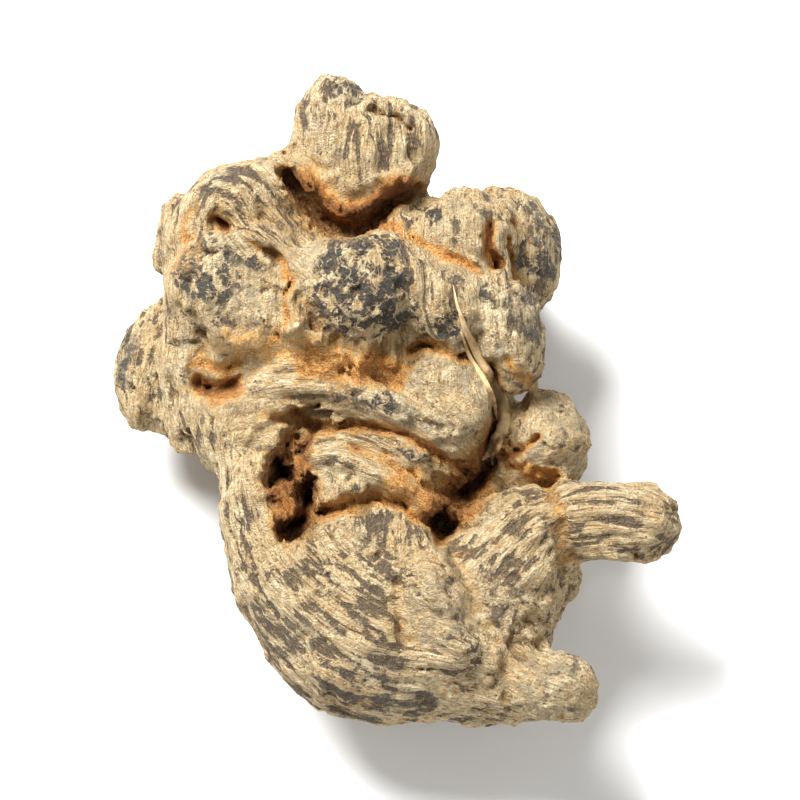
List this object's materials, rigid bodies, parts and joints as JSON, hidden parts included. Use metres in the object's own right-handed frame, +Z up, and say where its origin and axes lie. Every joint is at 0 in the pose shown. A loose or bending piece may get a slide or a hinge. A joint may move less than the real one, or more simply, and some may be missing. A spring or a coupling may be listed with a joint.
{
  "type": "notoginseng root",
  "caption": "Dried notoginseng root lying on its back: lumpy crown with a stem stump, body folded into arches, thick curled tail with blunt side roots.",
  "frame": {"origin": "centre of the bounding box in plan, on the surface that the root lies on", "axes": "+Y from the tail to the crown, +Z up, away from the surface it lies on, +X to the right as its face is seen from the tail's side"},
  "size_m": [0.0522, 0.059, 0.0291],
  "materials": {
    "bark": "matt dry root skin, tan with grey-brown wrinkles, dark knob tips and rust-brown crevices"
  },
  "bodies": {
    "root": {"root": "bark"}
  },
  "joints": []
}
